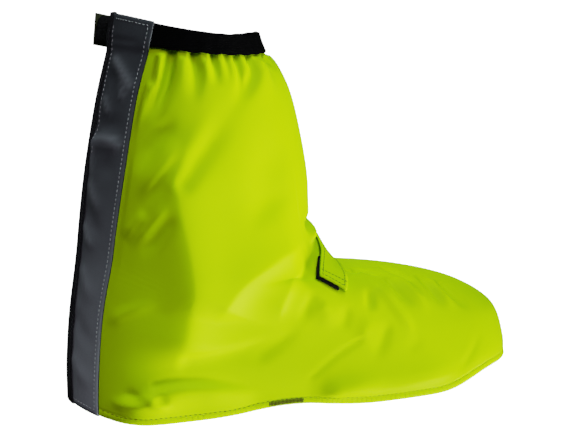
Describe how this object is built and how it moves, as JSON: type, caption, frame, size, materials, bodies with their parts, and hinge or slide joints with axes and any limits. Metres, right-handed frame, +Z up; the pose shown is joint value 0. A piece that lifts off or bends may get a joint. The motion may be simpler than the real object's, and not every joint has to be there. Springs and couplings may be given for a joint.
{
  "type": "cycling gaiter",
  "caption": "Tall open-bottomed cycling gaiter of coated yellow fabric with an elastic gathered collar, reflective back strip, closing tab, instep strap and underfoot strap.",
  "frame": {"origin": "middle of the gaiter's box on the floor that its hem stands on", "axes": "+X from heel to toe, +Y to the inner side of the right foot, +Z up the shaft"},
  "size_m": [0.3038, 0.1, 0.2463],
  "materials": {
    "coated_fabric": "fluorescent yellow fabric with a smooth satin coating",
    "elastic": "black ribbed elastic, matt",
    "reflective_tape": "dark grey reflective tape with a soft sheen",
    "edge_tape": "black woven tape, matt",
    "hook_tape": "black hook tape with a rough face",
    "webbing": "black woven webbing"
  },
  "bodies": {
    "root": {"upper": "coated_fabric", "collar_band": "elastic", "back_strip": "reflective_tape", "back_edge_tape": "edge_tape", "closure_tab": "coated_fabric", "closure_tab_hook": "hook_tape", "instep_strap": "coated_fabric", "instep_strap_hook": "hook_tape", "underfoot_strap": "webbing"}
  },
  "joints": []
}
